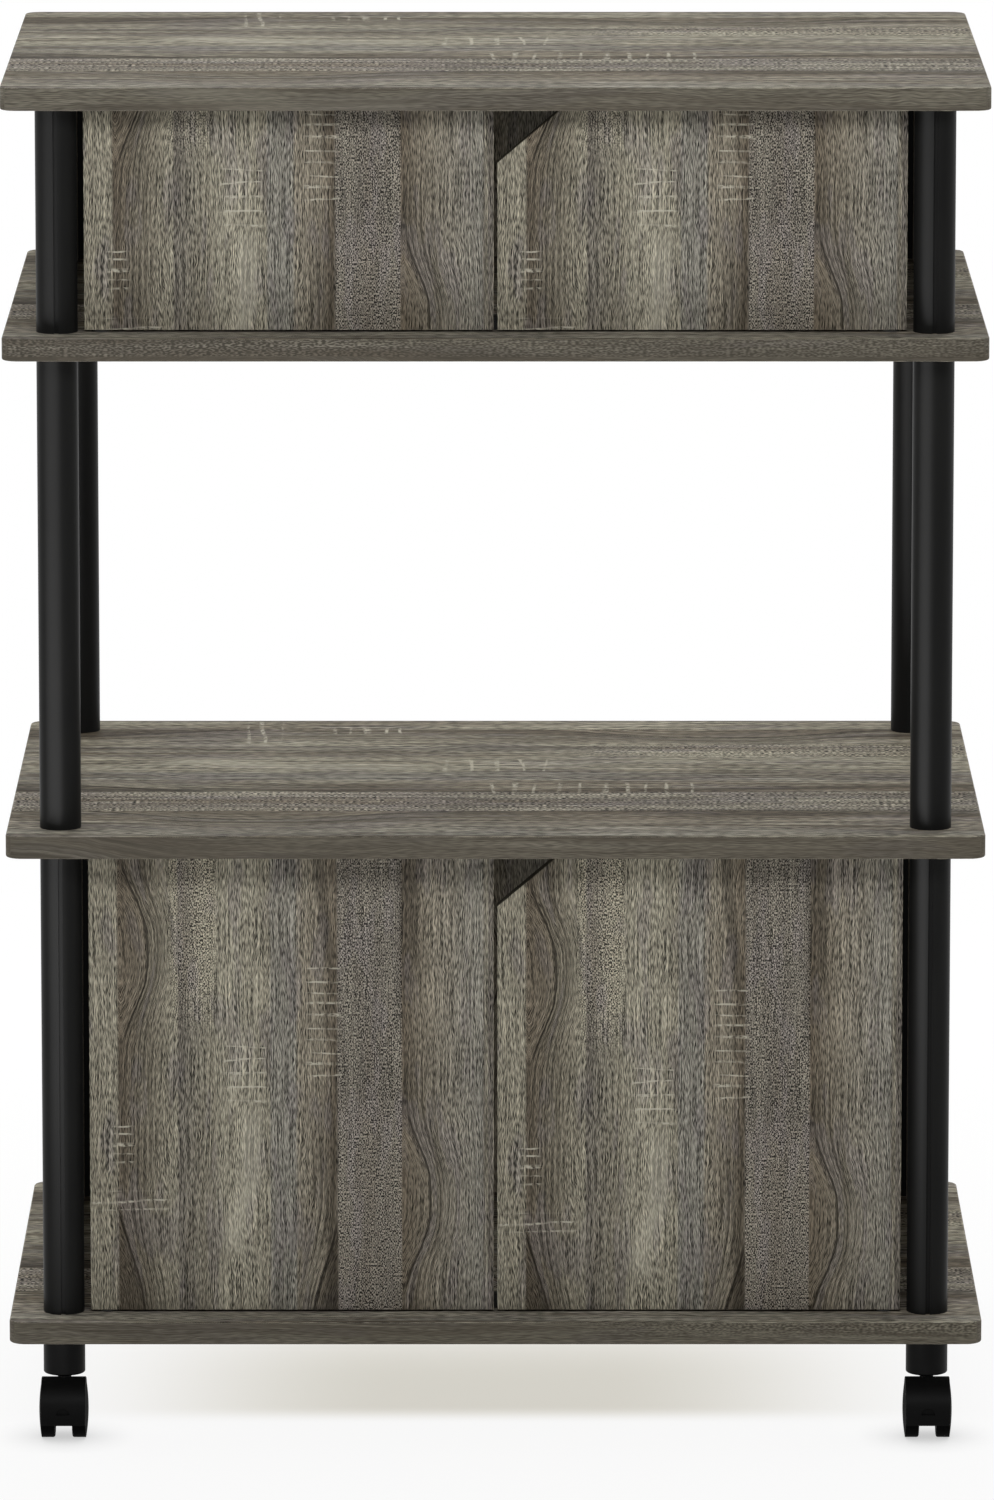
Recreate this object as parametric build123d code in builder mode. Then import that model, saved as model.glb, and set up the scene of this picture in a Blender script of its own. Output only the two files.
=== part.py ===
"""Rolling kitchen storage cart: four laminate boards carried on black tubes, with a short
two-door cabinet at the top, an open bay, a tall two-door cabinet below and twin-wheel casters.

Millimetres. +Z is up, +X is to the right seen from the front and +Y runs to the back.
The origin is on the floor under the middle of the boards.
"""

import os

from build123d import *

# Boards
cart_width = 600.0
cart_depth = 396.0
board_thickness = 14.0
board_corner_radius = 10.0
board_edge_round = 1.2
blind_hole_floor = 4.0  # board left under a blind hole

# Clear heights between the boards
upper_bay_height = 139.0
open_bay_height = 293.5
lower_bay_height = 291.0

# Tubes, which stand in line at the four corners
tube_diameter = 25.4
tube_inset = 32.8  # from a board's edges to the tube's centre
groove_depth = 2.6
wall_behind_groove = 1.0
groove_count = 4

# Plugs in the tube ends, and the studs that join tube to tube through a board
plug_clearance = 0.05
plug_floor = 3.0
stud_diameter = 8.0
stud_reach = 10.0  # how far a stud enters a plug or a foot
stud_clearance = 0.05
stud_end_gap = 0.4
stud_hole_clearance = 0.3  # round a stud in a board
insert_wall = 1.5

# Thin panels slid into the grooves of the cabinet tubes
panel_thickness = 2.4
panel_side_play = 0.15
panel_end_play = 0.3

# Doors
door_thickness = 12.0
door_setback = 28.5  # from the boards' front edges to the doors' front faces
door_side_gap = 4.1  # from a tube to a door's outer edge
door_meeting_gap = 2.2
door_end_gap = 1.2  # over and under a door
door_arris = 0.35
finger_cut_width = 40.0
finger_cut_height = 34.0

# Door pivots: a pin in each end of a door turns in a bush in the board
pivot_inset = 10.0  # from a door's outer edge to its pivot
pin_diameter = 5.0
pin_in_door = 14.0
pin_press_clearance = 0.02
pin_running_clearance = 0.05
pin_end_gap = 0.4
bush_wall = 2.0
bush_collar_width = 1.5
bush_seat_clearance = 0.05
thrust_gap = 0.3

# Door stops and their screws
stop_width = 44.0
stop_depth = 10.0
stop_height = 8.0
stop_gap = 0.3
stop_arris = 0.6
stop_screw_spacing = 28.0
screw_diameter = 3.0
screw_clearance = 0.05
screw_head_diameter = 6.0
screw_head_height = 1.8
screw_tip_gap = 0.5

# Feet under the bottom board
foot_diameter = 25.8
foot_height = 24.8
foot_edge_round = 1.0
foot_web = 2.0  # between the stud's hole and the caster stem's hole

# Casters
wheel_radius = 18.0
wheel_rim_width = 8.35
wheel_dome = 1.5
wheel_edge_round = 1.2
wheel_cap = 0.65  # wheel left outside the end of its bore
axle_diameter = 4.0
axle_end_gap = 0.3
axle_press_clearance = 0.02
axle_running_clearance = 0.05
caster_trail = 13.0  # from the stem forward to the axle
tread_clearance = 0.5
hood_wall = 1.1
hood_width = 27.5
hood_edge_round = 0.5
hood_boss_wall = 1.2
hood_plate_clearance = 0.9
hood_notch_height = 11.3
hood_front_lip = 10.5
hood_rear_lip = 24.0
hood_boss_step = 0.2
hood_to_foot = 0.6
recess_side = 0.25
recess_ledge_height = 18.0
recess_depth = 1.4
stem_diameter = 6.0
stem_clearance = 0.05
stem_press_clearance = 0.02
stem_bore_floor = 2.5
swivel_gap = 0.2

# Heights, from the floor up
axle_height = wheel_radius
hood_radius = wheel_radius + tread_clearance + hood_wall
hood_top = axle_height + hood_radius
foot_bottom = hood_top + hood_to_foot
bottom_board_z = foot_bottom + foot_height
lower_bay_z = bottom_board_z + board_thickness
lower_shelf_z = lower_bay_z + lower_bay_height
open_bay_z = lower_shelf_z + board_thickness
upper_shelf_z = open_bay_z + open_bay_height
upper_bay_z = upper_shelf_z + board_thickness
top_board_z = upper_bay_z + upper_bay_height

# Plan positions
tube_x = cart_width / 2 - tube_inset
tube_y = cart_depth / 2 - tube_inset
corners = {
    "front_left": (-tube_x, -tube_y),
    "front_right": (tube_x, -tube_y),
    "rear_left": (-tube_x, tube_y),
    "rear_right": (tube_x, tube_y),
}
tube_points = list(corners.values())
sides = {"left": -1, "right": 1}

# Tube, plug and stud sections
tube_radius = tube_diameter / 2
tube_bore_radius = tube_radius - groove_depth - wall_behind_groove
groove_width = panel_thickness + 2 * panel_side_play
groove_floor_radius = tube_radius - groove_depth
stud_radius = stud_diameter / 2
stud_seat_radius = stud_radius + stud_clearance
stud_seat_depth = stud_reach + stud_end_gap
plug_length = stud_seat_depth + plug_floor
blind_hole_depth = board_thickness - blind_hole_floor
insert_radius = stud_seat_radius + insert_wall

# Doors and pivots in plan
door_front = -cart_depth / 2 + door_setback
door_back = door_front + door_thickness
door_outer = tube_x - tube_radius - door_side_gap
door_inner = door_meeting_gap / 2
pivot_x = door_outer - pivot_inset
pivot_y = door_front + door_thickness / 2
pivot_points = [(side * pivot_x, pivot_y) for side in sides.values()]
pin_radius = pin_diameter / 2
bush_radius = pin_radius + pin_running_clearance + bush_wall
bush_collar_height = door_end_gap - thrust_gap
pin_in_bush = blind_hole_depth - pin_end_gap
stop_y = door_back + stop_gap + stop_depth / 2
stop_screw_points = [(side * stop_screw_spacing / 2, stop_y) for side in sides.values()]
screw_radius = screw_diameter / 2

# Boards: the cabinets stand on the floor boards and close against the roof boards
board_bottoms = {
    "bottom_board": bottom_board_z,
    "lower_shelf": lower_shelf_z,
    "upper_shelf": upper_shelf_z,
    "top_board": top_board_z,
}
floor_boards = ("bottom_board", "upper_shelf")

# Tube tiers and cabinets: where each starts and how tall it is
tiers = {
    "lower": (lower_bay_z, lower_bay_height),
    "middle": (open_bay_z, open_bay_height),
    "upper": (upper_bay_z, upper_bay_height),
}
cabinets = {name: tiers[name] for name in ("lower", "upper")}

# Casters and feet in section
foot_radius = foot_diameter / 2
stem_radius = stem_diameter / 2
stem_in_foot = foot_height - stud_seat_depth - foot_web
stem_bore_bottom = hood_notch_height + stem_bore_floor
boss_radius = stem_radius + stem_clearance + hood_boss_wall
plate_half_width = boss_radius + hood_boss_step
recess_radius = plate_half_width - recess_side
wheel_inner = plate_half_width + hood_plate_clearance
wheel_rim = wheel_inner + wheel_rim_width
wheel_bore_end = wheel_rim - wheel_cap
axle_radius = axle_diameter / 2
wheel_bore_radius = axle_radius + axle_running_clearance
axle_half_length = wheel_bore_end - axle_end_gap

os.makedirs("parts", exist_ok=True)


def write(piece, name):
    """Label a finished piece and write it to its own file."""
    piece.part.label = name
    export_step(piece.part, f"parts/{name}.step")


# Boards, drilled for the studs, the door pivots and the stop screws
for name, bottom in board_bottoms.items():
    top = bottom + board_thickness
    with BuildPart() as board:
        with BuildSketch(Plane.XY.offset(bottom)):
            RectangleRounded(cart_width, cart_depth, board_corner_radius)
        extrude(amount=board_thickness)
        rims = board.edges().group_by(Axis.Z)
        fillet(rims[0] + rims[-1], board_edge_round)
        with BuildSketch(Plane.XY.offset(bottom)):
            with Locations(*tube_points):
                if name == "top_board":
                    Circle(insert_radius + plug_clearance)
                else:
                    Circle(stud_radius + stud_hole_clearance)
        stud_hole_depth = blind_hole_depth if name == "top_board" else board_thickness
        extrude(amount=stud_hole_depth, mode=Mode.SUBTRACT)
        bush_face = top if name in floor_boards else bottom
        into_board = -1 if name in floor_boards else 1
        with BuildSketch(Plane.XY.offset(bush_face)):
            with Locations(*pivot_points):
                Circle(bush_radius + bush_seat_clearance)
        extrude(amount=into_board * blind_hole_depth, mode=Mode.SUBTRACT)
        if name in floor_boards:
            with BuildSketch(Plane.XY.offset(top)):
                with Locations(*stop_screw_points):
                    Circle(screw_radius + screw_clearance)
            extrude(amount=-blind_hole_depth, mode=Mode.SUBTRACT)
    write(board, name)

# Tubes: grooved round the cabinets to hold the panels, plain in the open bay
for tier, (bottom, height) in tiers.items():
    for corner, (x, y) in corners.items():
        with BuildPart() as tube:
            with BuildSketch(Plane((x, y, bottom))):
                Circle(tube_radius)
                Circle(tube_bore_radius, mode=Mode.SUBTRACT)
                if tier in cabinets:
                    with PolarLocations(tube_radius, groove_count):
                        Rectangle(2 * groove_depth, groove_width, mode=Mode.SUBTRACT)
            extrude(amount=height)
        write(tube, f"{tier}_tube_{corner}")

# Plugs in both ends of every tube, each with a socket for a stud
with BuildPart() as tube_plugs:
    for bottom, height in tiers.values():
        for mouth, inward in ((bottom, 1), (bottom + height, -1)):
            with BuildSketch(Plane.XY.offset(mouth)):
                with Locations(*tube_points):
                    Circle(tube_bore_radius - plug_clearance)
            extrude(amount=inward * plug_length)
            with BuildSketch(Plane.XY.offset(mouth)):
                with Locations(*tube_points):
                    Circle(stud_seat_radius)
            extrude(amount=inward * stud_seat_depth, mode=Mode.SUBTRACT)
write(tube_plugs, "tube_plugs")

# Studs through the three lower boards, from the plug above to the plug or foot below
with BuildPart() as joining_studs:
    for bottom in (bottom_board_z, lower_shelf_z, upper_shelf_z):
        with BuildSketch(Plane.XY.offset(bottom - stud_reach)):
            with Locations(*tube_points):
                Circle(stud_radius)
        extrude(amount=board_thickness + 2 * stud_reach)
write(joining_studs, "joining_studs")

# Threaded inserts sunk in the underside of the top board, and their shorter studs
with BuildPart() as top_inserts:
    with BuildSketch(Plane.XY.offset(top_board_z)):
        with Locations(*tube_points):
            Circle(insert_radius)
            Circle(stud_seat_radius, mode=Mode.SUBTRACT)
    extrude(amount=blind_hole_depth)
write(top_inserts, "top_inserts")

with BuildPart() as top_studs:
    with BuildSketch(Plane.XY.offset(top_board_z - stud_reach)):
        with Locations(*tube_points):
            Circle(stud_radius)
    extrude(amount=stud_reach + blind_hole_depth - stud_end_gap)
write(top_studs, "top_studs")

# Side and back panels, which stand on the board below with their edges in the grooves
panel_edge_inset = groove_floor_radius + panel_end_play
side_panel_depth = 2 * (tube_y - panel_edge_inset)
back_panel_width = 2 * (tube_x - panel_edge_inset)
for cabinet, (bottom, height) in cabinets.items():
    panel_height = height - panel_end_play
    for side, sign in sides.items():
        with BuildPart() as side_panel:
            with BuildSketch(Plane((sign * tube_x, 0, bottom))):
                Rectangle(panel_thickness, side_panel_depth)
            extrude(amount=panel_height)
        write(side_panel, f"{cabinet}_side_panel_{side}")
    with BuildPart() as back_panel:
        with BuildSketch(Plane((0, tube_y, bottom))):
            Rectangle(back_panel_width, panel_thickness)
        extrude(amount=panel_height)
    write(back_panel, f"{cabinet}_back_panel")

# Doors: the right one of a pair has its upper inner corner cut away for the fingers
for cabinet, (bay_bottom, bay_height) in cabinets.items():
    bottom = bay_bottom + door_end_gap
    top = bay_bottom + bay_height - door_end_gap
    for side, sign in sides.items():
        outline = [
            (sign * door_outer, bottom),
            (sign * door_outer, top),
            (sign * door_inner, top),
            (sign * door_inner, bottom),
        ]
        if side == "right":
            outline[2:3] = [
                (door_inner + finger_cut_width, top),
                (door_inner, top - finger_cut_height),
            ]
        with BuildPart() as door:
            with BuildSketch(Plane.XZ.offset(-door_front)):
                with BuildLine():
                    Polyline(*outline, close=True)
                make_face()
            extrude(amount=-door_thickness)
            front_edges = door.faces().sort_by(Axis.Y)[0].edges()
            back_edges = door.faces().sort_by(Axis.Y)[-1].edges()
            chamfer(front_edges + back_edges, door_arris)
            for end, inward in ((bottom, 1), (top, -1)):
                with BuildSketch(Plane((sign * pivot_x, pivot_y, end))):
                    Circle(pin_radius + pin_press_clearance)
                extrude(amount=inward * (pin_in_door + pin_end_gap), mode=Mode.SUBTRACT)
        write(door, f"{cabinet}_door_{side}")

        with BuildPart() as pins:
            for end, inward in ((bottom, 1), (top, -1)):
                outer_end = end - inward * (door_end_gap + pin_in_bush)
                with BuildSketch(Plane((sign * pivot_x, pivot_y, outer_end))):
                    Circle(pin_radius)
                extrude(amount=inward * (pin_in_bush + door_end_gap + pin_in_door))
        write(pins, f"{cabinet}_pivot_pins_{side}")

# Bushes that the pivot pins turn in, with a collar that the door's end runs on
with BuildPart() as pivot_bushes:
    for bay_bottom, bay_height in cabinets.values():
        for face, inward in ((bay_bottom, 1), (bay_bottom + bay_height, -1)):
            with BuildSketch(Plane.XY.offset(face)):
                with Locations(*pivot_points):
                    Circle(bush_radius)
            extrude(amount=-inward * (blind_hole_depth - pin_end_gap))
            with BuildSketch(Plane.XY.offset(face)):
                with Locations(*pivot_points):
                    Circle(bush_radius + bush_collar_width)
            extrude(amount=inward * bush_collar_height)
            with BuildSketch(Plane.XY.offset(face + inward * bush_collar_height)):
                with Locations(*pivot_points):
                    Circle(pin_radius + pin_running_clearance)
            extrude(amount=-inward * (bush_collar_height + blind_hole_depth), mode=Mode.SUBTRACT)
write(pivot_bushes, "pivot_bushes")

# Stops behind the meeting edges of the doors, each held down by two screws
for cabinet, (bottom, height) in cabinets.items():
    with BuildPart() as stop:
        with BuildSketch(Plane((0, stop_y, bottom))):
            Rectangle(stop_width, stop_depth)
        extrude(amount=stop_height)
        chamfer(stop.faces().sort_by(Axis.Z)[-1].edges(), stop_arris)
        with BuildSketch(Plane.XY.offset(bottom)):
            with Locations(*stop_screw_points):
                Circle(screw_radius + screw_clearance)
        extrude(amount=stop_height, mode=Mode.SUBTRACT)
    write(stop, f"{cabinet}_door_stop")

with BuildPart() as stop_screws:
    for bottom, height in cabinets.values():
        screw_tip = bottom - blind_hole_depth + screw_tip_gap
        with BuildSketch(Plane.XY.offset(screw_tip)):
            with Locations(*stop_screw_points):
                Circle(screw_radius)
        extrude(amount=bottom + stop_height - screw_tip)
        with BuildSketch(Plane.XY.offset(bottom + stop_height)):
            with Locations(*stop_screw_points):
                Circle(screw_head_diameter / 2)
        extrude(amount=screw_head_height)
write(stop_screws, "stop_screws")

# Feet: a stud's socket above and a caster stem's socket below
for corner, (x, y) in corners.items():
    with BuildPart() as foot:
        with BuildSketch(Plane((x, y, foot_bottom))):
            Circle(foot_radius)
        extrude(amount=foot_height)
        fillet(foot.edges().sort_by(Axis.Z)[0], foot_edge_round)
        with BuildSketch(Plane((x, y, bottom_board_z))):
            Circle(stud_seat_radius)
        extrude(amount=-stud_seat_depth, mode=Mode.SUBTRACT)
        with BuildSketch(Plane((x, y, foot_bottom))):
            Circle(stem_radius + stem_press_clearance)
        extrude(amount=stem_in_foot, mode=Mode.SUBTRACT)
    write(foot, f"foot_{corner}")

# Caster stems, fixed in the feet, with a collar that the hood runs under
with BuildPart() as caster_stems:
    stem_bottom = stem_bore_bottom + swivel_gap
    with BuildSketch(Plane.XY.offset(stem_bottom)):
        with Locations(*tube_points):
            Circle(stem_radius)
    extrude(amount=foot_bottom + stem_in_foot - stem_bottom)
    with BuildSketch(Plane.XY.offset(hood_top + swivel_gap)):
        with Locations(*tube_points):
            Circle(boss_radius)
    extrude(amount=hood_to_foot - swivel_gap)
write(caster_stems, "caster_stems")

# Casters: a hood that swivels on the stem, an axle through it and a domed wheel on each side
for corner, (x, y) in corners.items():
    axle_y = y - caster_trail
    side_plane = Plane((x, axle_y, axle_height), x_dir=(0, 1, 0), z_dir=(1, 0, 0))
    rear_edge = caster_trail + boss_radius
    with BuildPart() as hood:
        with BuildSketch(side_plane):
            Circle(hood_radius)
            Circle(hood_radius - hood_wall, mode=Mode.SUBTRACT)
            with BuildLine():
                Polyline(
                    (-hood_radius, hood_front_lip - axle_height),
                    (rear_edge, hood_rear_lip - axle_height),
                    (rear_edge, hood_radius),
                    (-hood_radius, hood_radius),
                    close=True,
                )
            make_face(mode=Mode.INTERSECT)
        extrude(amount=hood_width / 2, both=True)
        shell_ends = hood.edges().filter_by(GeomType.CIRCLE).group_by(SortBy.RADIUS)
        fillet(shell_ends[-1], hood_edge_round)
        with BuildSketch(side_plane):
            Circle(hood_radius)
            with Locations((0, hood_notch_height - axle_height)):
                Rectangle(
                    2 * hood_radius,
                    2 * hood_radius,
                    align=(Align.CENTER, Align.MIN),
                    mode=Mode.INTERSECT,
                )
        extrude(amount=plate_half_width, both=True)
        with BuildSketch(Plane((x, y, hood_notch_height))):
            Circle(boss_radius)
        extrude(amount=hood_top - hood_notch_height)
        with BuildSketch(Plane((x, y, hood_top))):
            Circle(stem_radius + stem_clearance)
        extrude(amount=stem_bore_bottom - hood_top, mode=Mode.SUBTRACT)
        with BuildSketch(side_plane):
            Circle(axle_radius + axle_press_clearance)
        extrude(amount=plate_half_width, both=True, mode=Mode.SUBTRACT)
        front_plane = Plane.XZ.offset(hood_radius - axle_y)
        with BuildSketch(front_plane):
            with Locations((x, recess_ledge_height)):
                Circle(recess_radius)
                Rectangle(
                    2 * recess_radius,
                    recess_radius,
                    align=(Align.CENTER, Align.MIN),
                    mode=Mode.INTERSECT,
                )
        extrude(amount=-recess_depth, mode=Mode.SUBTRACT)
    write(hood, f"caster_hood_{corner}")

    with BuildPart() as axle:
        with BuildSketch(side_plane):
            Circle(axle_radius)
        extrude(amount=axle_half_length, both=True)
    write(axle, f"caster_axle_{corner}")

    for side, sign in sides.items():
        wheel_plane = Plane((x, axle_y, axle_height), x_dir=(sign, 0, 0), z_dir=(0, -sign, 0))
        with BuildPart() as wheel:
            with BuildSketch(wheel_plane):
                with BuildLine():
                    TangentArc(
                        (wheel_rim + wheel_dome, 0), (wheel_rim, wheel_radius), tangent=(0, 1)
                    )
                    Polyline(
                        (wheel_rim, wheel_radius),
                        (wheel_inner, wheel_radius),
                        (wheel_inner, wheel_bore_radius),
                        (wheel_bore_end, wheel_bore_radius),
                        (wheel_bore_end, 0),
                        (wheel_rim + wheel_dome, 0),
                    )
                make_face()
            revolve(axis=Axis((x, axle_y, axle_height), (1, 0, 0)))
            tread_edges = wheel.edges().filter_by(GeomType.CIRCLE).sort_by(SortBy.RADIUS)[-2:]
            fillet(tread_edges, wheel_edge_round)
        write(wheel, f"caster_wheel_{corner}_{side}")
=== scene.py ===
# %% [markdown]
# # A rolling kitchen cart, dressed in Blender
#
# The cart's boards, tubes, doors and casters come from a CAD model at their real size. This lesson
# loads them as a fixed frame, sets a camera and soft studio light, and gives every surface a finish
# made of shader nodes. Sizes are in metres where Blender needs them, and in millimetres inside the
# wood print, because grain is easier to think about in millimetres.

# %% Load the frame
import math

import bpy
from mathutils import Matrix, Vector


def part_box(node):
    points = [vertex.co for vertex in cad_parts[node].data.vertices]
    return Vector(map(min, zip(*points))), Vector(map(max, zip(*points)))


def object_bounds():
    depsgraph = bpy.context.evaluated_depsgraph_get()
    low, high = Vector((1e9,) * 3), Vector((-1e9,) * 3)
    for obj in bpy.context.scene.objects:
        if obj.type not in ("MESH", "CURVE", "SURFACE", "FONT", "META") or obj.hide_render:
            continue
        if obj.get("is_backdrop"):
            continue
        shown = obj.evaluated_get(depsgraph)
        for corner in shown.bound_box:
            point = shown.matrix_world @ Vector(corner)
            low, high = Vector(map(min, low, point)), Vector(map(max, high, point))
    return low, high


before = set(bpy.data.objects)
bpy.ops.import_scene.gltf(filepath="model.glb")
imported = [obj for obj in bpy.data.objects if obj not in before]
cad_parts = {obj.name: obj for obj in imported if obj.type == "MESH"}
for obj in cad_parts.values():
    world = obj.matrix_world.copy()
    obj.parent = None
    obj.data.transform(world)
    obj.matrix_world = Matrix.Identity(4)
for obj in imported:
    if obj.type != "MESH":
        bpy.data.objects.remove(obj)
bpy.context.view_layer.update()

# %% [markdown]
# ## Camera
#
# The photograph was taken from a long way off and from above, so the boards' tops show and the
# perspective is mild. The camera stands in that same place, worked out from the vanishing point of
# the boards' sides, and a long lens brings the cart back to the picture's size. It is tilted down at
# the cart, which keeps the cart in the middle of the frame from any other side too.

# %% Camera
camera_place = Vector((-0.0012, -6.842, 1.668))
camera_aim = Vector((0.0009, -0.198, 0.436))
camera_lens = 265.6
sensor_width = 36.0
clip_near, clip_far = 0.1, 100.0

bpy.ops.object.select_all(action="DESELECT")
bpy.ops.object.camera_add(location=camera_place)
camera = bpy.context.object
camera.name = "camera"
camera.rotation_euler = (camera_aim - camera_place).to_track_quat("-Z", "Y").to_euler()
camera.data.sensor_width = sensor_width
camera.data.lens = camera_lens
camera.data.clip_start = clip_near
camera.data.clip_end = clip_far
bpy.context.scene.camera = camera
bpy.context.scene.view_settings.view_transform = "Standard"
print("camera at", tuple(camera_place), "lens", camera_lens)

# %% [markdown]
# ## Colours
#
# Colours are easiest to read off a screen, as red, green and blue from 0 to 255. A shader wants them
# linear, as amounts of light, so one small function turns the first kind into the second.

# %% Colours
def linear(red, green, blue):
    """A colour as it looks on screen, 0 to 255, as the linear colour that a shader wants."""
    def one(value):
        value = value / 255
        return value / 12.92 if value <= 0.04045 else ((value + 0.055) / 1.055) ** 2.4

    return (one(red), one(green), one(blue), 1.0)


print("mid grey on screen is", round(linear(128, 128, 128)[0], 3), "of white in light")

# %% [markdown]
# ## A short hand for shader nodes
#
# Every finish below is a tree of small nodes. Typing each node and link by hand hides the idea, so a
# little class adds a node, fills its sockets with values or links, and hands back the output socket.

# %% Node short hand
class Wiring:
    """Adds nodes to one tree and links them as they are made."""

    def __init__(self, tree):
        self.tree = tree

    def node(self, kind, **settings):
        made = self.tree.nodes.new(kind)
        for name, value in settings.items():
            setattr(made, name, value)
        return made

    def put(self, socket, value):
        if isinstance(value, bpy.types.NodeSocket):
            self.tree.links.new(value, socket)
        else:
            socket.default_value = value

    def math(self, operation, *values):
        made = self.node("ShaderNodeMath", operation=operation)
        for socket, value in zip(made.inputs, values):
            self.put(socket, value)
        return made.outputs[0]

    def most(self, values):
        """The largest of several numbers."""
        largest = values[0]
        for value in values[1:]:
            largest = self.math("MAXIMUM", largest, value)
        return largest

    def vector(self, x, y, z=0.0):
        made = self.node("ShaderNodeCombineXYZ")
        for socket, value in zip(made.inputs, (x, y, z)):
            self.put(socket, value)
        return made.outputs[0]

    def surface(self, what):
        """X, Y and Z of a point's place, "Object", in metres, or of the way it faces, "Normal"."""
        made = self.node("ShaderNodeSeparateXYZ")
        self.put(made.inputs[0], self.node("ShaderNodeTexCoord").outputs[what])
        return made.outputs

    def noise(self, across, along, width, length, detail=2.0, roughness=0.5, layer=0.0):
        """Noise whose blotches are about width by length, in the units of across and along.

        Noise on another layer has its blotches in other places.
        """
        spot = self.vector(
            self.math("DIVIDE", across, width), self.math("DIVIDE", along, length), layer
        )
        made = self.node("ShaderNodeTexNoise", noise_dimensions="3D")
        self.put(made.inputs["Vector"], spot)
        made.inputs["Scale"].default_value = 1.0
        made.inputs["Detail"].default_value = detail
        made.inputs["Roughness"].default_value = roughness
        return made.outputs["Fac"]

    def cloud(self, scale, detail=2.0):
        """Noise with round blotches, about scale of them to a metre."""
        made = self.node("ShaderNodeTexNoise")
        made.inputs["Scale"].default_value = scale
        made.inputs["Detail"].default_value = detail
        self.put(made.inputs["Vector"], self.node("ShaderNodeTexCoord").outputs["Object"])
        return made.outputs["Fac"]

    def step(self, value, low, high):
        """0 at low and before it, 1 at high and past it, smooth between."""
        made = self.node("ShaderNodeMapRange", interpolation_type="SMOOTHSTEP")
        self.put(made.inputs["Value"], value)
        self.put(made.inputs["From Min"], low)
        self.put(made.inputs["From Max"], high)
        return made.outputs["Result"]

    def window(self, value, low, high, soft):
        """1 between low and high, fading to 0 over soft outside them."""
        rise = self.step(value, low - soft, low)
        fall = self.step(value, high + soft, high)
        return self.math("MULTIPLY", rise, fall)

    def ramp(self, value, stops):
        """A colour ramp through (place, colour) stops."""
        made = self.node("ShaderNodeValToRGB")
        elements = made.color_ramp.elements
        while len(elements) < len(stops):
            elements.new(0.5)
        for element, (place, colour) in zip(elements, stops):
            element.position = place
            element.color = colour
        self.put(made.inputs["Fac"], value)
        return made.outputs["Color"]

    def mix(self, factor, first, second):
        """A colour between first and second."""
        made = self.node("ShaderNodeMix", data_type="RGBA")
        self.put(made.inputs[0], factor)
        self.put(made.inputs[6], first)
        self.put(made.inputs[7], second)
        return made.outputs[2]

    def blend(self, factor, first, second):
        """A plain number between first and second."""
        made = self.node("ShaderNodeMix", data_type="FLOAT")
        self.put(made.inputs[0], factor)
        self.put(made.inputs[2], first)
        self.put(made.inputs[3], second)
        return made.outputs[0]

    def scale(self, colour, amount):
        """A colour made lighter or darker by a number."""
        made = self.node("ShaderNodeVectorMath", operation="SCALE")
        self.put(made.inputs[0], colour)
        self.put(made.inputs["Scale"], amount)
        return made.outputs[0]

    def bump(self, shader, height, strength, depth):
        """Roughens a shader's surface by a height, depth metres from lowest to highest."""
        made = self.node("ShaderNodeBump")
        made.inputs["Strength"].default_value = strength
        made.inputs["Distance"].default_value = depth
        self.put(made.inputs["Height"], height)
        self.put(shader.inputs["Normal"], made.outputs["Normal"])

    def looked_at(self):
        """1 for what the camera sees, also in gloss or through glass, and 0 for light that spreads."""
        path = self.node("ShaderNodeLightPath")
        rays = ("Is Camera Ray", "Is Glossy Ray", "Is Transmission Ray")
        return self.most([path.outputs[ray] for ray in rays])


print("node short hand ready")

# %% [markdown]
# ### Groups and materials
#
# An effect that several finishes share is a node group: a small tree with named sockets, built once
# and placed in each material with its own values. Three helpers start a group, start a material, and
# place a group in a material.

# %% Groups and materials
FLOAT, COLOUR = "NodeSocketFloat", "NodeSocketColor"


def new_group(name, inputs, outputs):
    """An empty shader node group with named sockets, its wiring, and its two end nodes."""
    tree = bpy.data.node_groups.new(name, "ShaderNodeTree")
    for label, kind, value in inputs:
        socket = tree.interface.new_socket(name=label, in_out="INPUT", socket_type=kind)
        socket.default_value = value
    for label, kind in outputs:
        tree.interface.new_socket(name=label, in_out="OUTPUT", socket_type=kind)
    wiring = Wiring(tree)
    return tree, wiring, wiring.node("NodeGroupInput"), wiring.node("NodeGroupOutput")


def new_material(name):
    """An empty material, the wiring of its tree, and its Principled shader."""
    material = bpy.data.materials.new(name)
    material.use_nodes = True
    wiring = Wiring(material.node_tree)
    return material, wiring, material.node_tree.nodes["Principled BSDF"]


def place_group(wiring, tree, **values):
    """Puts a node group into a tree and fills its inputs."""
    made = wiring.node("ShaderNodeGroup", node_tree=tree)
    for name, value in values.items():
        wiring.put(made.inputs[name], value)
    return made.outputs


print("groups and materials ready")

# %% [markdown]
# ## The oak print
#
# The boards and doors wear a printed grey oak. A print like this repeats one sheet: staves of
# different tone laid side by side, half an oval figure where a stave was cut near the heart, dark
# pores, silvery speckle, and pale marks left by a saw. It could be painted as a picture, but nodes
# stay sharp at any distance, so the sheet is one node group that only needs to know how far a point
# is across the grain and along it, in millimetres.

# %% The sheet and its staves
sheet_width = 249.0  # the print repeats across the grain after this many millimetres
seam = 0.8           # one stave's tone runs into the next over this many millimetres

pale = linear(200, 195, 178)
chalk = linear(154, 149, 133)
olive = linear(137, 132, 117)
grey = linear(129, 126, 117)
tan = linear(131, 124, 110)
brown = linear(101, 92, 79)
slate = linear(105, 100, 92)
umber = linear(84, 75, 64)
mauve = linear(116, 110, 108)
dark = linear(32, 28, 23)

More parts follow.
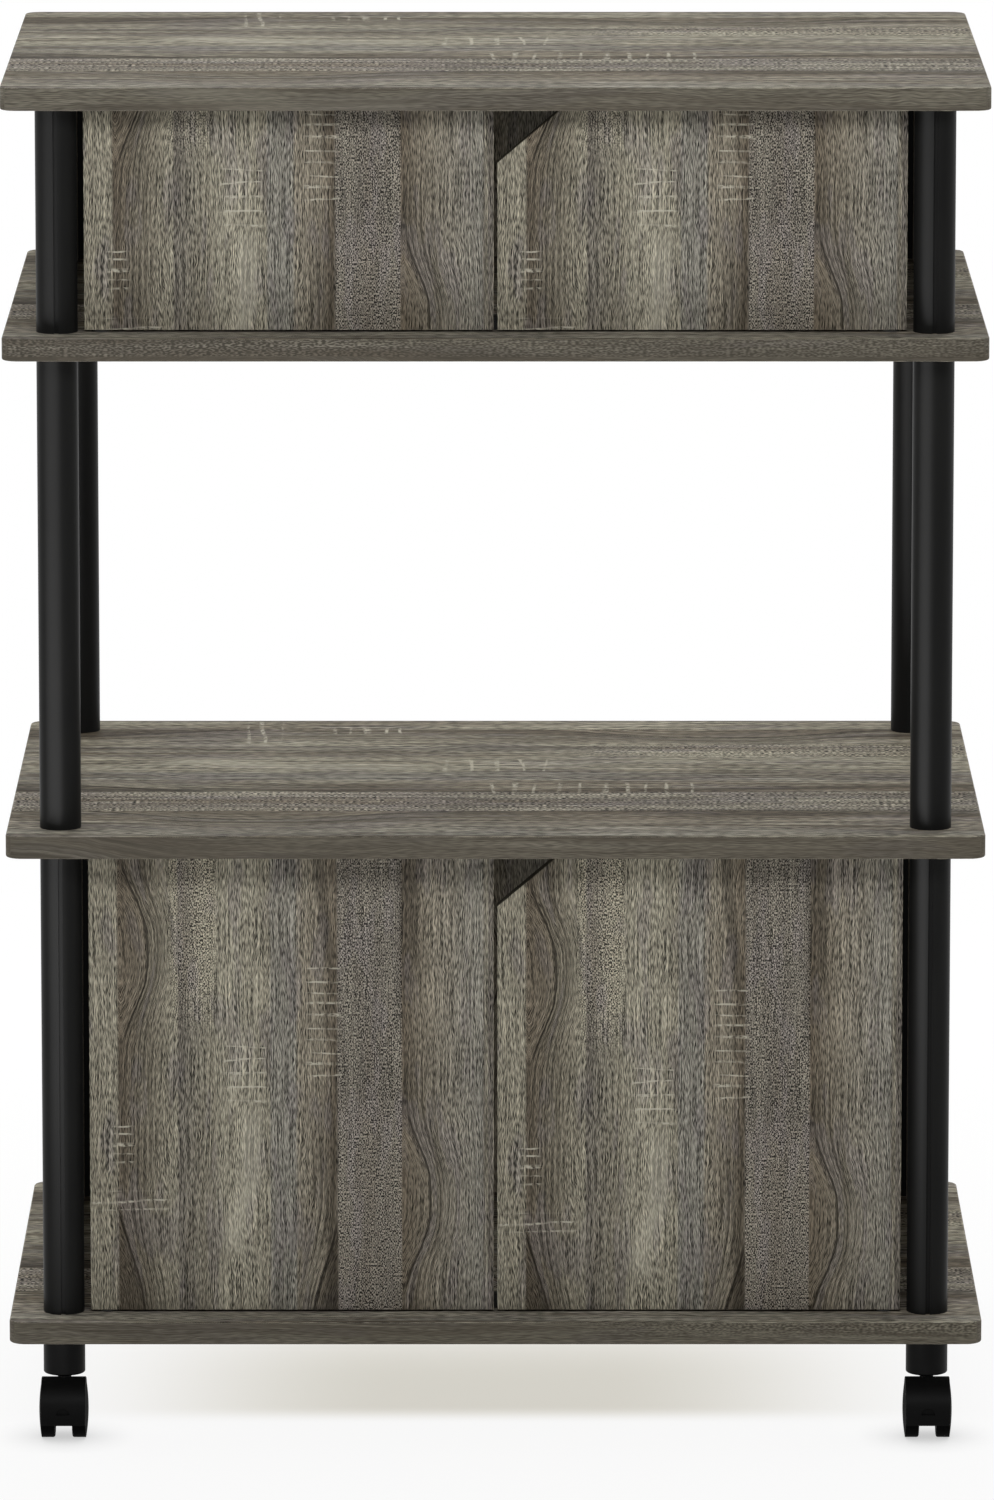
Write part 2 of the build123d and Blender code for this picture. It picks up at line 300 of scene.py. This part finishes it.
# Where each stave starts across the sheet, in millimetres, with its tone at both edges
staves = [
    (0, olive, olive),
    (18, brown, olive),
    (55, slate, olive),
    (76, olive, chalk),
    (91, chalk, olive),
    (112, grey, grey),
    (128, tan, tan),
    (140, tan, brown),
    (153, slate, slate),
    (193, brown, tan),
    (210, tan, grey),
    (243, slate, olive),
    (246, slate, slate),
]

oak_tree, oak, oak_in, oak_out = new_group(
    "oak_print",
    [
        ("Across", FLOAT, 0.0),
        ("Along", FLOAT, 0.0),
        ("Contrast", FLOAT, 1.0),
        ("Streaks", FLOAT, 1.0),
        ("Marks", FLOAT, 1.0),
    ],
    [("Color", COLOUR), ("Height", FLOAT), ("Roughness", FLOAT)],
)
across = oak_in.outputs["Across"]
along = oak_in.outputs["Along"]
contrast = oak_in.outputs["Contrast"]
streaks = oak_in.outputs["Streaks"]
marks = oak_in.outputs["Marks"]
sheet = oak.math("WRAP", across, sheet_width, 0.0)

stops = []
for place, (start, first, last) in enumerate(staves):
    end = staves[place + 1][0] if place + 1 < len(staves) else sheet_width
    stops.append((start / sheet_width, first))
    stops.append(((end - seam) / sheet_width, last))
tone = oak.ramp(oak.math("DIVIDE", sheet, sheet_width), stops)
print("sheet:", len(staves), "staves")

# %% [markdown]
# ### Heart figures
#
# Where a stave is cut close to the heart of the trunk, the year rings show as long ovals, one inside
# the other, and every fibre beside them bends round them too. On this print each oval stands on a
# stave's edge, so the next stave hides one half of it. A figure does two things: it marks its rings,
# and it says how far the grain is pushed aside. It is as wide as a blunt bell curve along the grain,
# so that its ends close and the grain is straight again past them.

# %% Heart figures
wander = oak.math("SUBTRACT", oak.noise(across, along, 30, 120), 0.5)
ripple = oak.math("SUBTRACT", oak.noise(across, along, 4, 8, detail=1.0, layer=31.0), 0.5)
figure_wander, figure_ripple = 6.0, 0.8  # how far a figure's rings wander and ripple, in millimetres
push_reach = 14.0                        # how far the push of a figure carries across the grain
bell_power, bell_fall = 2.8, -0.9        # how blunt the bell curve is, and how fast it falls
figure_fade = (0.02, 0.20)               # a figure fades out as its bell falls between these
rings_fade = (3.2, 1.6)                  # its rings fade out this many half lengths from its centre


def heart_figure(centre, half_width, half_length, stave_edges, spacing):
    """Year rings round a centre on one stave, the heart inside them, the push on the grain, and the reach."""
    aside = oak.math("MULTIPLY_ADD", wander, figure_wander, oak.math("SUBTRACT", sheet, centre[0]))
    aside = oak.math("MULTIPLY_ADD", ripple, figure_ripple, aside)
    off = oak.math("ABSOLUTE", aside)
    rise = oak.math("MULTIPLY_ADD", along, 1.0 / half_length, -centre[1] / half_length)
    rise = oak.math("ABSOLUTE", rise)
    bell = oak.math("MULTIPLY", oak.math("POWER", rise, bell_power), bell_fall)
    bell = oak.math("EXPONENT", bell)

    # Distance from the oval's edge: below 0 inside it, and evened out to straight grain far outside
    width = oak.math("MULTIPLY", bell, half_width)
    outside = oak.math("MAXIMUM", oak.math("SUBTRACT", off, width), 0.0)
    carry = oak.math("EXPONENT", oak.math("MULTIPLY", outside, -1.0 / push_reach))
    ring = oak.math("SUBTRACT", off, oak.math("MULTIPLY", width, carry))

    stave = oak.window(sheet, *stave_edges, 0.6)
    place = oak.math("MULTIPLY", stave, oak.step(bell, *figure_fade))
    around = oak.math("MULTIPLY", stave, oak.step(rise, *rings_fade))
    near = oak.math("MULTIPLY", oak.step(ring, 8.0 * spacing, 3.0 * spacing), around)
    heart = oak.math("MULTIPLY", place, oak.step(ring, 0.3, -0.7))

    # Rings are a wave over that distance, with uneven gaps and strengths
    uneven = oak.noise(ring, along, 0.8 * spacing, 70, detail=1.0, layer=61.0)
    phase = oak.math("MULTIPLY_ADD", uneven, 7.0, -2.3)
    wave = oak.math("SINE", oak.math("MULTIPLY_ADD", ring, 2 * math.pi / spacing, phase))
    lines = oak.math("POWER", oak.math("MULTIPLY_ADD", wave, 0.5, 0.5), 1.5)
    lines = oak.math("MULTIPLY", lines, oak.blend(oak.step(uneven, 0.38, 0.60), 0.15, 0.85))
    lines = oak.math("MULTIPLY", oak.math("MULTIPLY", lines, near), oak.step(ring, -0.8, 0.2))
    outline = oak.math("MULTIPLY", oak.step(oak.math("ABSOLUTE", ring), 1.2, 0.5), place)

    right = oak.math("MULTIPLY", oak.math("MAXIMUM", ring, 0.0), oak.math("SIGN", aside))
    moved = oak.math("ADD", oak.math("MINIMUM", ring, 0.0), right)
    return {
        "rings": oak.math("MAXIMUM", lines, outline),
        "heart": heart,
        "push": oak.math("MULTIPLY", oak.math("SUBTRACT", moved, aside), stave),
        "near": near,
    }


print("heart figure ready")

# %% [markdown]
# Four figures stand on this sheet. Two are small and brown. Two are longer and darker, and lie so low
# on the sheet that only the tall doors and the boards show them. Each is given by its centre across and
# along the sheet, half its width and length, its stave's edges and its rings' spacing, in millimetres.

# %% The figures on this sheet
small_figures = [
    heart_figure((19, 82), 18, 40, (18, 54.5), 3.6),
    heart_figure((194, -74), 17, 40, (193, 243), 3.6),
]
dark_figures = [
    heart_figure((16, -165), 19, 62, (18, 54.5), 4.6),
    heart_figure((154, -165), 17, 55, (128, 153), 4.2),
]
figures = small_figures + dark_figures
rings = oak.most([figure["rings"] for figure in figures])
hearts = oak.most([figure["heart"] for figure in figures])
dark_hearts = oak.most([figure["heart"] for figure in dark_figures])
figured = oak.most([figure["near"] for figure in figures])
push = figures[0]["push"]
for figure in figures[1:]:
    push = oak.math("ADD", push, figure["push"])
print("heart figures:", len(figures))

# %% [markdown]
# ### Grain lines
#
# Grain is noise that has been pulled out along the wood. Several sizes are used: threads as thin as a
# hair, short fibres, bands a few millimetres wide, and slow changes of tone and of hue. They all wander
# and ripple a little together, as real grain does, and bend round the heart figures. Noise stands in
# rows, and rows of fibres would look knitted, so threads and fibres are staggered along the grain.

# %% Grain lines
grain_wander, grain_ripple = 10.0, 1.6  # how far the grain wanders and ripples, in millimetres
stagger_reach = 30.0                    # how far neighbouring threads are shifted along the grain
hair = 0.33                             # the width of a thread or fibre
crisp = (0.30, 0.70)                    # noise past these limits is all dark or all light

grain = oak.math("ADD", across, push)
grain = oak.math("MULTIPLY_ADD", wander, grain_wander, grain)
grain = oak.math("MULTIPLY_ADD", ripple, grain_ripple, grain)
rows = oak.noise(grain, along, 1.5, 500, detail=1.0, layer=53.0)
stagger = oak.math("MULTIPLY_ADD", rows, stagger_reach, along)
threads = oak.step(oak.noise(grain, stagger, hair, 45, detail=0.0), *crisp)
fibres = oak.step(oak.noise(grain, stagger, hair, 4.0, detail=0.0, layer=11.0), *crisp)
speckle = oak.step(oak.noise(grain, along, 0.42, 1.3, detail=0.0, layer=17.0), *crisp)
bands = oak.noise(grain, along, 2.2, 90, detail=3.0, roughness=0.6, layer=3.0)
slow = oak.noise(grain, along, 14, 200, layer=7.0)
murk = oak.noise(grain, along, 12, 60, layer=41.0)
print("grain lines ready")

# %% [markdown]
# ### Speckle and stains
#
# Two staves are cut so that the rays of the wood show as salt-and-pepper speckle. Here and there the
# print has a dark stain along a stave's edge, and a pale sheen where the grain swings past a figure.
# Each is a window on the sheet, with its places across and along the grain in millimetres.

# %% Speckle and stains
def streak(line, half_width, soft):
    """1 close to a line along the grain, fading to 0 over soft."""
    off = oak.math("ABSOLUTE", oak.math("SUBTRACT", sheet, line))
    return oak.step(off, half_width + soft, half_width)


upper_speckle = oak.math("MULTIPLY", oak.window(sheet, 56, 72, 9), oak.step(along, 20, 80))
side_speckle = oak.window(sheet, 153.4, 192.6, 0.4)
side_speckle = oak.math("MULTIPLY", side_speckle, oak.blend(oak.step(along, 0, -70), 0.75, 1.6))
speckled = oak.math("MAXIMUM", upper_speckle, side_speckle)

edge_line = oak.math("MULTIPLY_ADD", oak.step(along, 60, 150), -9.0, 149.5)
edge_stain = oak.math("MULTIPLY", streak(edge_line, 1.5, 3.5), oak.window(sheet, 120, 152.6, 0.4))
ends = oak.step(oak.math("ABSOLUTE", along), 45, 95)
edge_stain = oak.math("MULTIPLY", edge_stain, oak.blend(ends, 0.35, 1.0))
top_stain = oak.math("MULTIPLY", oak.window(sheet, 193.5, 201, 6), oak.step(along, 35, 100))
stains = oak.math("MAXIMUM", edge_stain, top_stain)

sheen_line = oak.math("MULTIPLY_ADD", oak.step(along, -55, -100), -12.0, 100.0)
sheen = oak.math("MULTIPLY", streak(sheen_line, 2.0, 8.0), oak.window(along, -98, -30, 18))
print("speckle and stains ready")

# %% [markdown]
# ### Saw marks
#
# The print shows rough-sawn wood, with short pale scratches across the grain where the saw jumped.
# They stand in small ladders: a window on the sheet, filled with thin lines a few millimetres apart.

# %% Saw marks
rung_shift = 7.0           # how far the rungs of a ladder are thrown out of step
rung_edge = (1.0, 0.3)     # a rung fades out between these distances from its middle
faintest_rung = 0.40


def saw_marks(left, right, low, high, spacing):
    """A ladder of thin lines across the grain, broken up along their length."""
    shift = oak.math("MULTIPLY", oak.noise(across, along, 60, 9, detail=1.0, layer=23.0), rung_shift)
    rung = oak.math("PINGPONG", oak.math("ADD", along, shift), spacing / 2)
    broken = oak.noise(across, along, 3.0, 2.0, roughness=0.6, layer=29.0)
    broken = oak.step(broken, 0.36, 0.56)
    strong = oak.noise(across, along, 12, 5.0, detail=0.0, layer=71.0)
    strong = oak.blend(oak.step(strong, 0.40, 0.56), faintest_rung, 1.0)
    line = oak.math("MULTIPLY", oak.step(rung, *rung_edge), strong)
    patch = oak.math("MULTIPLY", oak.window(sheet, left, right, 5), oak.window(along, low, high, 2))
    return oak.math("MULTIPLY", oak.math("MULTIPLY", line, broken), patch)


ladders = [
    saw_marks(137, 152, -2, 71, spacing=7.5),
    saw_marks(86, 106, -12, 22, spacing=8.5),
    saw_marks(4, 46, -80, -70, spacing=6.0),
    saw_marks(17, 24, -50, -28, spacing=6.0),
]
scratches = oak.most(ladders)
print("saw marks:", len(ladders), "ladders")

# %% [markdown]
# ### Putting the print together
#
# The layers are laid over the staves in the order a printer would lay the inks: slow changes of tone
# and bands first, then the fine threads, fibres and speckle as light and shade, and last the lines
# that have to stay clear: stains, year rings and saw scratches.

# %% The print's broad inks
# How strongly each ink is laid on, from 0 to 1
ink = {
    "chalk_streaks": 0.25,
    "brown_streaks": 0.35,
    "mauve_clouds": 0.45,
    "umber_bands": 0.40,
    "pale_bands": 0.15,
    "hearts": 0.40,
    "dark_hearts": 0.38,
    "stains": 0.42,
    "sheen": 0.30,
    "year_rings": 0.82,
    "saw_marks": 0.80,
}


def lay(under, amount, mask, colour):
    """Lays a colour over the print where the mask is 1, as strongly as amount says."""
    return oak.mix(oak.math("MULTIPLY", mask, amount), under, colour)


def streaked(name):
    """An ink's strength, more or less as the finish asks for streaks."""
    return oak.math("MULTIPLY", streaks, ink[name])


colour = lay(tone, streaked("chalk_streaks"), oak.step(slow, 0.48, 0.64), chalk)
colour = lay(colour, streaked("brown_streaks"), oak.step(slow, 0.48, 0.36), brown)
colour = lay(colour, ink["mauve_clouds"], oak.step(murk, 0.52, 0.62), mauve)
colour = lay(colour, streaked("umber_bands"), oak.step(bands, 0.48, 0.36), umber)
colour = lay(colour, streaked("pale_bands"), oak.step(bands, 0.54, 0.66), pale)
colour = lay(colour, ink["hearts"], hearts, brown)
print("broad inks laid")

# %% [markdown]
# Fine grain is a brightness that the broad inks are multiplied by. It is calmer in and round the heart
# figures, and kept between limits, so that no pore turns quite black and no fleck turns white.

# %% The print's fine grain and clear lines
thread_depth, fibre_depth, fleck_depth = 1.5, 1.8, 5.4
mean_shade, darkest_shade, lightest_shade = 0.98, 0.16, 2.8
calm_in_figures = -0.2

shade = oak.math("MULTIPLY_ADD", oak.math("SUBTRACT", threads, 0.5), thread_depth, mean_shade)
shade = oak.math("MULTIPLY_ADD", oak.math("SUBTRACT", fibres, 0.5), fibre_depth, shade)
flecks = oak.math("MULTIPLY", oak.math("SUBTRACT", speckle, 0.5), speckled)
shade = oak.math("MULTIPLY_ADD", flecks, fleck_depth, shade)
calm = oak.math("MULTIPLY_ADD", oak.math("MAXIMUM", hearts, figured), calm_in_figures, 1.0)
shade = oak.blend(oak.math("MULTIPLY", contrast, calm), 1.0, shade)
shade = oak.math("MINIMUM", oak.math("MAXIMUM", shade, darkest_shade), lightest_shade)
colour = oak.scale(colour, shade)

colour = lay(colour, ink["dark_hearts"], dark_hearts, dark)
colour = lay(colour, ink["stains"], stains, dark)
colour = lay(colour, ink["sheen"], sheen, pale)
colour = lay(colour, ink["year_rings"], rings, dark)
colour = lay(colour, oak.math("MULTIPLY", marks, ink["saw_marks"]), scratches, pale)
oak.put(oak_out.inputs["Color"], colour)

thread_height, fibre_height = 0.6, 0.4
pore_roughness, wood_roughness = 0.74, 0.60
height = oak.math("MULTIPLY", fibres, fibre_height)
height = oak.math("MULTIPLY_ADD", threads, thread_height, height)
oak.put(oak_out.inputs["Height"], height)
oak.put(oak_out.inputs["Roughness"], oak.blend(threads, pore_roughness, wood_roughness))
print("oak print:", len(oak_tree.nodes), "nodes")

# %% [markdown]
# ## Laminate finishes
#
# A laminate board has the print on its two faces and a matching band of it round the edges, with the
# grain running along the edge. The same three steps make every board, door and panel: find which way a
# point faces, read the print in that direction, and make the edge band a little darker and plainer. On
# the doors the edge band is much darker, as painted shade, and on the boards the faces are lightened,
# as painted light.

# %% Laminate finishes
face_fade = 0.25         # how gradually a face turns into the edge band, as a cosine
end_turn = (0.65, 0.75)  # past these cosines an edge counts as an end of the board
band_tone = linear(124, 117, 104)
band_plainness = 0.55    # how much of the edge band is its plain tone
band_contrast = 0.5      # how much of the fine grain is left on it
laminate_shine = 0.04
MM = 1000.0              # millimetres in a metre


def laminate(
    name, face, grain_way, across_way, start, stretch=(1.0, 1.0),
    contrast=1.0, streaks=1.0, lift=1.0, band_shade=0.60, turn=0.55,
):
    """A laminate with the given face, grain and cross directions, each one of X, Y and Z.

    start is where the print's own zero lies across and along the grain, in millimetres, and stretch
    is how much the print is enlarged each way. A negative stretch turns the print round. contrast is
    the strength of the fine grain, streaks that of the broad bands, lift lightens the faces as painted
    light, and band_shade is how bright the edge band is beside them; set low, it also paints shade into
    the edge band. turn is how far a surface may lean away from the face's direction, as a cosine,
    before the edge band takes over.
    """
    material, wires, shader = new_material(name)
    place = wires.surface("Object")
    facing = wires.surface("Normal")

    def on_print(way, axis):
        return wires.math("MULTIPLY_ADD", place[way], MM / stretch[axis], -start[axis] / stretch[axis])

    on_face = wires.step(wires.math("ABSOLUTE", facing[face]), turn, turn + face_fade)
    on_edge = wires.math("SUBTRACT", 1.0, on_face)
    on_end = wires.step(wires.math("ABSOLUTE", facing[grain_way]), *end_turn)
    oak = place_group(
        wires,
        oak_tree,
        Across=wires.blend(on_edge, on_print(across_way, 0), on_print(face, 0)),
        Along=wires.blend(on_end, on_print(grain_way, 1), on_print(across_way, 1)),
        Contrast=wires.blend(on_edge, contrast, contrast * band_contrast),
        Streaks=streaks,
        Marks=on_face,
    )
    band = wires.scale(wires.mix(band_plainness, oak["Color"], band_tone), band_shade)
    board = wires.scale(oak["Color"], lift)
    wires.put(shader.inputs["Base Color"], wires.mix(on_edge, board, band))
    wires.put(shader.inputs["Roughness"], oak["Roughness"])
    shader.inputs["Specular IOR Level"].default_value = laminate_shine
    wires.bump(shader, oak["Height"], strength=0.25, depth=0.0003)
    return material


def dress(material, *names):
    """Gives CAD nodes a finish."""
    for name in names:
        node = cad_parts[name]
        node.data.materials.clear()
        node.data.materials.append(material)


print("laminate ready")

# %% [markdown]
# ### Boards, doors and panels
#
# One sheet fills a board from back to front, and is drawn out along it. On a door the sheet starts at
# the door's own left edge, so the two doors of a pair look alike, as on the real cart, and only the
# height at which they were cut from the print differs. The panels take the sheet as it falls.

# %% Boards, doors and panels
cabinets, sides = ("lower", "upper"), ("left", "right")
sheet_on_board = (-1.59, 1.85)
board_start = (193.2, -9.3)
panel_start, back_start = (20.0, 300.0), (40.0, 300.0)
door_edge = {"left": -250.4, "right": 1.1}  # where the sheet starts on each door, in millimetres
print_lift = {                              # and how far its middle lies above the door's
    "lower_door_left": 0.0,
    "lower_door_right": -14.0,
    "upper_door_left": 8.0,
    "upper_door_right": 8.0,
}

# The board faces are lightened above the doors' print: painted light for the boards' tops
board_oak = laminate("board_oak", "Z", "X", "Y", board_start, sheet_on_board, streaks=1.8, lift=1.12)
dress(board_oak, "bottom_board", "lower_shelf", "upper_shelf", "top_board")
for name, above in print_lift.items():
    low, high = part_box(name)
    middle = (low.z + high.z) / 2 * MM
    start = (door_edge[name.split("_")[-1]], middle + above)
    # The doors' edge band is much darker than the boards': painted shade in the gaps between and under the
    # doors and in the finger cut
    door_oak = laminate(f"{name}_oak", "Y", "Z", "X", start, streaks=0.42, band_shade=0.22, turn=0.35)
    dress(door_oak, name)

panel_oak = laminate("panel_oak", "X", "Z", "Y", panel_start, contrast=0.8)
back_oak = laminate("back_oak", "Y", "Z", "X", back_start, contrast=0.8)
for cabinet in cabinets:
    dress(panel_oak, *(f"{cabinet}_side_panel_{side}" for side in sides))
    dress(back_oak, f"{cabinet}_back_panel")
print("laminates on boards, doors and panels")

# %% [markdown]
# ## Black tubes, feet and casters
#
# The tubes are drawn or extruded, so very fine lines run along them under a satin skin. The feet and
# the caster hoods are moulded with a faint grain, and the wheels are smooth hard nylon. Black
# surfaces show almost only what they mirror, so the work is in roughness and bump, not in colour.

# %% Black finishes
skin_depth = 0.0002  # the bump of tubes and mouldings, in metres


def black_tube():
    """A satin black tube with fine lines along it. x and y together stand for the way round it."""
    material, wires, shader = new_material("tube_satin")
    place = wires.surface("Object")
    x, y, z = (wires.math("MULTIPLY", place[way], MM) for way in "XYZ")
    round_tube = wires.math("ADD", x, wires.math("MULTIPLY", y, 1.7))
    lines = wires.noise(round_tube, z, 1.2, 400)
    cloud = wires.noise(round_tube, z, 18, 60, layer=5.0)
    wires.put(shader.inputs["Base Color"], wires.mix(cloud, linear(20, 20, 20), linear(30, 30, 29)))
    wires.put(shader.inputs["Roughness"], wires.blend(lines, 0.34, 0.44))
    shader.inputs["Specular IOR Level"].default_value = 0.05
    wires.bump(shader, lines, strength=0.12, depth=skin_depth)
    return material


def moulded(name, grey_level, rough, shine, grain_size, grain_strength):
    """A moulded plastic: a little uneven in tone and gloss, with a fine pebbled skin."""
    uneven_tone, uneven_gloss, clouds_per_metre = 0.25, 0.06, 90.0
    material, wires, shader = new_material(name)
    pebbles = wires.cloud(1.0 / grain_size)
    cloud = wires.cloud(clouds_per_metre)
    shade = linear(*grey_level)[:3]
    darker = tuple(value * (1.0 - uneven_tone) for value in shade) + (1.0,)
    lighter = tuple(value * (1.0 + uneven_tone) for value in shade) + (1.0,)
    wires.put(shader.inputs["Base Color"], wires.mix(cloud, darker, lighter))
    gloss = wires.blend(pebbles, rough - uneven_gloss, rough + uneven_gloss)
    wires.put(shader.inputs["Roughness"], gloss)
    shader.inputs["Specular IOR Level"].default_value = shine
    wires.bump(shader, pebbles, strength=grain_strength, depth=skin_depth)
    return material


print("black finishes ready")

# %% [markdown]
# The shine of each black is set against the photograph: the feet keep a soft highlight, the hoods
# less, and the wheels hardly any. The fittings inside are a dark grey plastic that only shows when a
# door is open.

# %% Black pieces
corners = ("front_left", "front_right", "rear_left", "rear_right")
tube_satin = black_tube()
foot_satin = moulded("foot_satin", (22, 22, 22), 0.42, shine=0.06, grain_size=0.0006, grain_strength=0.10)
hood_grain = moulded("hood_grain", (14, 14, 14), 0.45, shine=0.045, grain_size=0.0005, grain_strength=0.20)
wheel_nylon = moulded("wheel_nylon", (12, 12, 12), 0.60, shine=0.012, grain_size=0.0008, grain_strength=0.06)
fitting_plastic = moulded(
    "fitting_plastic", (46, 46, 45), 0.5, shine=0.30, grain_size=0.0006, grain_strength=0.12
)

for corner in corners:
    dress(tube_satin, *(f"{tier}_tube_{corner}" for tier in ("lower", "middle", "upper")))
    dress(foot_satin, f"foot_{corner}")
    dress(hood_grain, f"caster_hood_{corner}")
    dress(wheel_nylon, *(f"caster_wheel_{corner}_{side}" for side in sides))
dress(fitting_plastic, "tube_plugs", "pivot_bushes", "lower_door_stop", "upper_door_stop")
print("black finishes on tubes, feet and casters")

# %% [markdown]
# ## Zinc-plated steel
#
# The studs, pins, axles and screws are bright zinc over steel. Hardly any of it shows, but a door
# that stands open uncovers its screws, so it gets a slightly cloudy metal.

# %% Zinc steel
def zinc():
    """Bright zinc, cloudy in tone and gloss."""
    material, wires, shader = new_material("zinc_steel")
    cloud = wires.cloud(700.0, detail=3.0)
    tint = wires.mix(cloud, linear(176, 178, 182), linear(212, 210, 204))
    wires.put(shader.inputs["Base Color"], tint)
    wires.put(shader.inputs["Roughness"], wires.blend(cloud, 0.26, 0.42))
    shader.inputs["Metallic"].default_value = 1.0
    return material


zinc_steel = zinc()
dress(zinc_steel, "joining_studs", "top_inserts", "top_studs", "stop_screws", "caster_stems")
dress(zinc_steel, *(f"caster_axle_{corner}" for corner in corners))
for cabinet in cabinets:
    dress(zinc_steel, *(f"{cabinet}_pivot_pins_{side}" for side in sides))
print("zinc on studs, pins, axles and screws")

# %% [markdown]
# ## Floor
#
# A white studio sweep with no horizon. It is mostly a glow that only the camera and mirrors see, with
# a little of a real pale surface mixed in, so that a soft shadow stays on it. Under the cart a painted
# shadow makes the glow weaker and warmer, so that more of the real shadow shows through, and right
# beside the casters a painted contact shade darkens it where something stands close above it. Further
# out it fades into pure white, so no edge shows from any side.

# %% Floor
floor_size = 60
# The warm white and the weaker glow under the cart paint a shadow there, over the real one
pure_white, painted_shadow_warmth = (1.0, 1.0, 1.0, 1.0), (1.0, 0.97, 0.88, 1.0)
paper_tones = (0.93, 0.93, 0.92, 1.0), (0.95, 0.95, 0.94, 1.0)
near_glow, far_glow, glow_in_painted_shadow = 0.91, 1.0, 0.62
glow_fade = (0.45, 1.60)                                    # metres from the cart's middle
painted_shadow_fade = (0.30, 0.06), (-0.145, -0.10), (0.24, -0.03)  # sideways, at the front and at the back
contact_reach, contact_shade = 0.03, 0.6

bpy.ops.object.select_all(action="DESELECT")
bpy.ops.mesh.primitive_plane_add(size=floor_size)
floor = bpy.context.object
floor.name = "floor"
sweep, wires, shader = new_material("sweep_white")
wires.put(shader.inputs["Base Color"], wires.mix(wires.cloud(40.0), *paper_tones))
shader.inputs["Roughness"].default_value = 0.9
shader.inputs["Specular IOR Level"].default_value = 0.0

spot = wires.surface("Object")
# Painted shadow under the cart, fading out sideways, at the front and at the back
painted_shadow = wires.step(wires.math("ABSOLUTE", spot["X"]), *painted_shadow_fade[0])
painted_shadow = wires.math("MULTIPLY", painted_shadow, wires.step(spot["Y"], *painted_shadow_fade[1]))
painted_shadow = wires.math("MULTIPLY", painted_shadow, wires.step(spot["Y"], *painted_shadow_fade[2]))
white = wires.node("ShaderNodeEmission")
wires.put(white.inputs["Color"], wires.mix(painted_shadow, pure_white, painted_shadow_warmth))
# Painted contact shade: the glow darkens where something stands close above the floor
contact = wires.node("ShaderNodeAmbientOcclusion", samples=8)
contact.inputs["Distance"].default_value = contact_reach
wires.put(white.inputs["Strength"], wires.blend(contact.outputs["AO"], contact_shade, 1.0))

radius = wires.node("ShaderNodeVectorMath", operation="LENGTH")
wires.put(radius.inputs[0], wires.node("ShaderNodeTexCoord").outputs["Object"])
glow = wires.blend(wires.step(radius.outputs["Value"], *glow_fade), near_glow, far_glow)
glow = wires.blend(painted_shadow, glow, glow_in_painted_shadow)
both = wires.node("ShaderNodeMixShader")
wires.put(both.inputs[0], wires.math("MULTIPLY", wires.looked_at(), glow))
wires.put(both.inputs[1], shader.outputs["BSDF"])
wires.put(both.inputs[2], white.outputs["Emission"])
wires.put(sweep.node_tree.nodes["Material Output"].inputs["Surface"], both.outputs["Shader"])
floor.data.materials.append(sweep)
floor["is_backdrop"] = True
print("floor", tuple(floor.dimensions))

# %% [markdown]
# ## Light
#
# The photograph is lit by a white room with one soft panel in front of the cart, well above its top:
# the boards throw a short soft shadow on the doors, and the shadow grows longer further down. A panel
# overhead and a tent of three walls behind and beside the cart lift the boards' tops, and a bounce from
# the floor lifts the undersides. Two faint glows stand for the light that leaks into the cabinets. A
# bright patch of floor at the left is there for the black tubes alone: it draws their highlight, and is
# switched off for matt surfaces, because it would wash out the soft shadows on the doors.

# %% The white room
room_light = 0.12
world = bpy.data.worlds.new("white_room")
bpy.context.scene.world = world
world.use_nodes = True
wires = Wiring(world.node_tree)
background = world.node_tree.nodes["Background"]
wires.put(background.inputs["Strength"], wires.blend(wires.looked_at(), room_light, 1.0))
background.inputs["Color"].default_value = pure_white
print("room light", room_light)

# %% [markdown]
# Each panel is given by where it stands, what it faces, its width and height in metres, and the
# brightness of its surface, so that a larger panel sheds more light without looking any brighter.

# %% Panels
def panel_light(name, place, aim, size, radiance):
    """A soft light panel that shines at a point with a given brightness of its surface."""
    width, height = size
    bpy.ops.object.select_all(action="DESELECT")
    bpy.ops.object.light_add(type="AREA", location=place)
    panel = bpy.context.object
    panel.name = name
    panel.data.shape = "RECTANGLE"
    panel.data.size = width
    panel.data.size_y = height
    panel.data.energy = radiance * math.pi * width * height
    panel.rotation_euler = (Vector(aim) - Vector(place)).to_track_quat("-Z", "Y").to_euler()
    panel.visible_camera = False
    return panel


tent_light = 2.4
panel_light("front_panel", (0.0, -1.75, 1.59), (0.0, -0.17, 0.60), (1.2, 0.50), radiance=9.0)
panel_light("overhead_panel", (0.0, 0.5, 2.4), (0.0, 0.5, 0.8), (1.6, 1.4), radiance=1.7)
tent = [
    panel_light("back_panel", (0.0, 1.9, 0.76), (0.0, 0.0, 0.76), (3.0, 1.5), tent_light),
    panel_light("left_panel", (-1.9, 0.95, 0.76), (0.0, 0.95, 0.76), (2.2, 1.5), tent_light),
    panel_light("right_panel", (1.9, 0.95, 0.76), (0.0, 0.95, 0.76), (2.2, 1.5), tent_light),
]
for panel in tent:
    panel.visible_glossy = False
panel_light("floor_bounce", (0.0, -1.55, 0.012), (0.0, -1.55, 1.0), (3.0, 2.2), radiance=0.39)
tube_glint = panel_light("tube_glint", (-1.5, -1.95, 0.015), (-1.5, -1.95, 1.0), (2.9, 2.6), radiance=14.0)
tube_glint.visible_diffuse = False
panel_light("upper_cabinet_glow", (0.0, -0.150, 0.760), (0.0, 0.16, 0.760), (0.48, 0.12), radiance=0.60)
panel_light("lower_cabinet_glow", (0.0, -0.150, 0.222), (0.0, 0.16, 0.222), (0.48, 0.27), radiance=0.45)

low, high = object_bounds()
